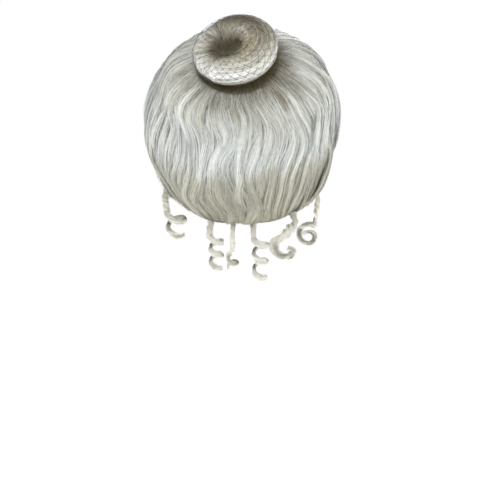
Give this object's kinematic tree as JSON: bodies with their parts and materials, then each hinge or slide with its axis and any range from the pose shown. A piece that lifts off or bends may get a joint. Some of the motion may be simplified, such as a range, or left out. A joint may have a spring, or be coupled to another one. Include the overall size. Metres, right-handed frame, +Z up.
{
  "type": "costume wig",
  "caption": "Puffed updo wig on a net cap, with a netted bun at the back of the crown and loose spiral curls at the hem.",
  "frame": {"origin": "middle of the head opening at ear level, on the head's vertical centre line", "axes": "+Z up through the crown, +Y the way the wearer faces, +X to the wearer's right"},
  "size_m": [0.2531, 0.2806, 0.3343],
  "materials": {
    "cap_net": "matte",
    "front_lace": "matte",
    "elastic": "matte",
    "tape": "matte",
    "tab_fabric": "matte",
    "loop_tape": "matte",
    "label": "satin",
    "weft": "satin",
    "hair": "satin",
    "ringlet_hair": "satin",
    "bun_hair": "satin",
    "hairnet": "matte",
    "net_elastic": "matte",
    "pin_metal": "satin",
    "stay_metal": "satin",
    "hook_plastic": "gloss"
  },
  "bodies": {
    "wig": {"crown_net": "cap_net", "front_band": "front_lace", "nape_band": "elastic", "tape_centre": "tape", "tape_mid_left": "tape", "tape_mid_right": "tape", "tape_side_left": "tape", "tape_side_right": "tape", "weft_1": "weft", "weft_2": "weft", "weft_3": "weft", "weft_4": "weft", "weft_5": "weft", "weft_6": "weft", "care_label": "label", "loop_strip_left": "loop_tape", "loop_strip_right": "loop_tape", "crown_hair": "hair", "back_hair_left": "hair", "back_hair_right": "hair", "rear_hair_left": "hair", "rear_hair_right": "hair", "side_hair_left": "hair", "side_hair_right": "hair", "front_hair_left": "hair", "front_hair_right": "hair", "bun_stub": "bun_hair", "bun_elastic": "net_elastic", "bun_coil": "bun_hair", "bun_end_coil": "bun_hair", "bun_net": "hairnet", "bun_net_elastic": "net_elastic", "bun_pins": "pin_metal"},
    "ear_tab_left_body": {"ear_tab_left": "tab_fabric", "ear_stay_left": "stay_metal"},
    "ear_tab_right_body": {"ear_tab_right": "tab_fabric", "ear_stay_right": "stay_metal"},
    "adjuster_left_body": {"adjuster_strap_left": "elastic", "adjuster_hook_left": "hook_plastic"},
    "adjuster_right_body": {"adjuster_strap_right": "elastic", "adjuster_hook_right": "hook_plastic"},
    "ringlet_side_left_body": {"ringlet_side_left": "ringlet_hair"},
    "ringlet_nape_left_body": {"ringlet_nape_left": "ringlet_hair"},
    "ringlet_nape_small_body": {"ringlet_nape_small": "ringlet_hair"},
    "ringlet_nape_right_body": {"ringlet_nape_right": "ringlet_hair"},
    "ringlet_rear_right_body": {"ringlet_rear_right": "ringlet_hair"},
    "ringlet_side_right_body": {"ringlet_side_right": "ringlet_hair"}
  },
  "joints": [
    {"name": "ear_tab_left_fold", "type": "hinge", "parent": "wig", "child": "ear_tab_left_body", "pos_m": [-0.07065, 0.03522, 0.013], "axis": [-0.2983, -0.9545, 0], "range_deg": [0, 20]},
    {"name": "ear_tab_right_fold", "type": "hinge", "parent": "wig", "child": "ear_tab_right_body", "pos_m": [0.07065, 0.03522, 0.013], "axis": [-0.2983, 0.9545, 0], "range_deg": [0, 20]},
    {"name": "adjuster_left_swing", "type": "hinge", "parent": "wig", "child": "adjuster_left_body", "pos_m": [-0.06902, -0.00725, -0.0585], "axis": [0, 0, 1], "range_deg": [0, 24]},
    {"name": "adjuster_right_swing", "type": "hinge", "parent": "wig", "child": "adjuster_right_body", "pos_m": [0.06902, -0.00725, -0.0585], "axis": [0, 0, -1], "range_deg": [0, 24]},
    {"name": "ringlet_side_left_swing", "type": "hinge", "parent": "wig", "child": "ringlet_side_left_body", "pos_m": [-0.1, 0.017, -0.052], "axis": [-0.1676, -0.9859, 0], "range_deg": [-25, 8]},
    {"name": "ringlet_nape_left_swing", "type": "hinge", "parent": "wig", "child": "ringlet_nape_left_body", "pos_m": [-0.041, -0.075, -0.091], "axis": [1, 0, 0], "range_deg": [-25, 8]},
    {"name": "ringlet_nape_small_swing", "type": "hinge", "parent": "wig", "child": "ringlet_nape_small_body", "pos_m": [-0.012, -0.082, -0.092], "axis": [1, 0, 0], "range_deg": [-25, 8]},
    {"name": "ringlet_nape_right_swing", "type": "hinge", "parent": "wig", "child": "ringlet_nape_right_body", "pos_m": [0.014, -0.082, -0.092], "axis": [1, 0, 0], "range_deg": [-25, 8]},
    {"name": "ringlet_rear_right_swing", "type": "hinge", "parent": "wig", "child": "ringlet_rear_right_body", "pos_m": [0.068, -0.052, -0.082], "axis": [0.6074, 0.7944, 0], "range_deg": [-25, 8]},
    {"name": "ringlet_side_right_swing", "type": "hinge", "parent": "wig", "child": "ringlet_side_right_body", "pos_m": [0.099, 0.015, -0.053], "axis": [-0.1498, 0.9887, 0], "range_deg": [-25, 8]}
  ]
}
